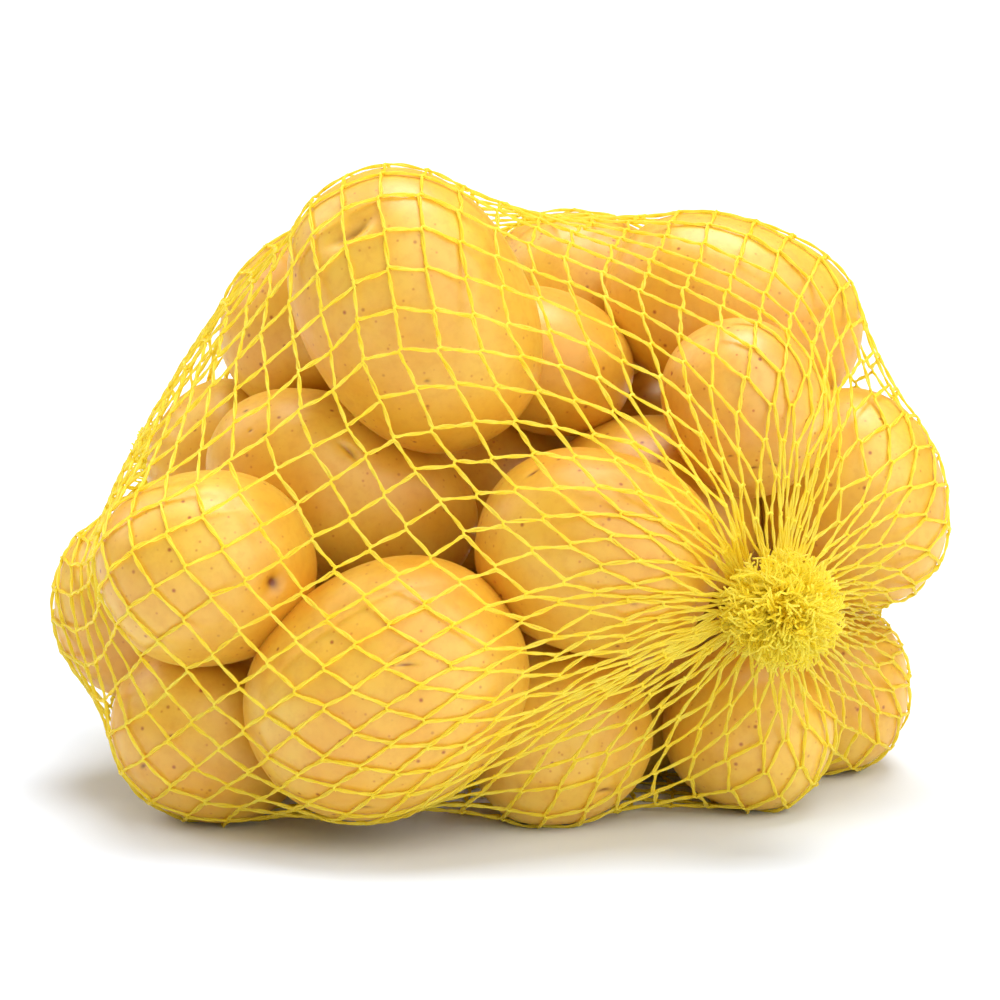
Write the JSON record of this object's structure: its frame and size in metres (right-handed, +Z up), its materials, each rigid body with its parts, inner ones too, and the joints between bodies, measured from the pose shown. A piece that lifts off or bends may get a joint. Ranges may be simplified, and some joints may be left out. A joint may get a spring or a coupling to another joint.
{
  "type": "net bag of potatoes",
  "caption": "Net bag of pale yellow potatoes lying on its side, with the stretched yellow net gathered and cut off in a frayed tuft at each end.",
  "frame": {"origin": "on the ground, under the middle of the bag", "axes": "+X to the right of the shown side, +Y away from it, +Z up"},
  "size_m": [0.2437, 0.1914, 0.1718],
  "materials": {
    "potato_skin": "dry, slightly waxy potato skin",
    "net_yarn": "glossy lemon yellow plastic yarn"
  },
  "bodies": {
    "root": {"potato_heap": "potato_skin", "front_tuft": "net_yarn", "rear_tuft": "net_yarn"}
  },
  "joints": []
}
